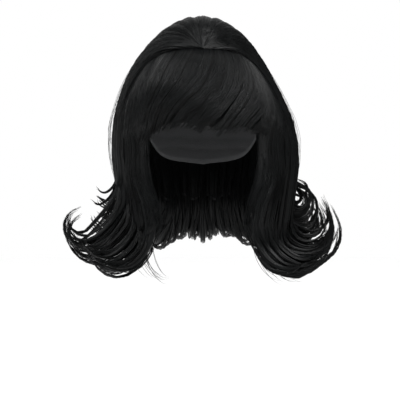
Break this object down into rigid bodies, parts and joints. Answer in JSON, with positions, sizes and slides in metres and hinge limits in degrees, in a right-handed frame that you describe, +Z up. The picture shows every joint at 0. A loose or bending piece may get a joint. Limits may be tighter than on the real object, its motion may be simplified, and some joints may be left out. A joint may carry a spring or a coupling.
{
  "type": "beehive wig",
  "caption": "Wig with a raised crown gathered over swept bangs, long side and back hair and flipped-out ends, on a thin cap.",
  "frame": {"origin": "inside of the cap at the top of the head, where the wig sits on the head", "axes": "+Z up, -Y towards the face, +X towards the right of someone looking at the face"},
  "size_m": [0.3367, 0.2724, 0.3223],
  "materials": {
    "cap": "matt black net of the wig's cap",
    "hair": "soft sheen, straight black fibres"
  },
  "bodies": {
    "root": {"wig_cap": "cap", "bangs": "hair", "crown_left": "hair", "crown_right": "hair", "crown_tuft": "hair", "temple_left": "hair", "temple_right": "hair", "side_fall_left": "hair", "side_fall_right": "hair", "back_fall_left": "hair", "back_fall_centre": "hair", "back_fall_right": "hair"}
  },
  "joints": []
}
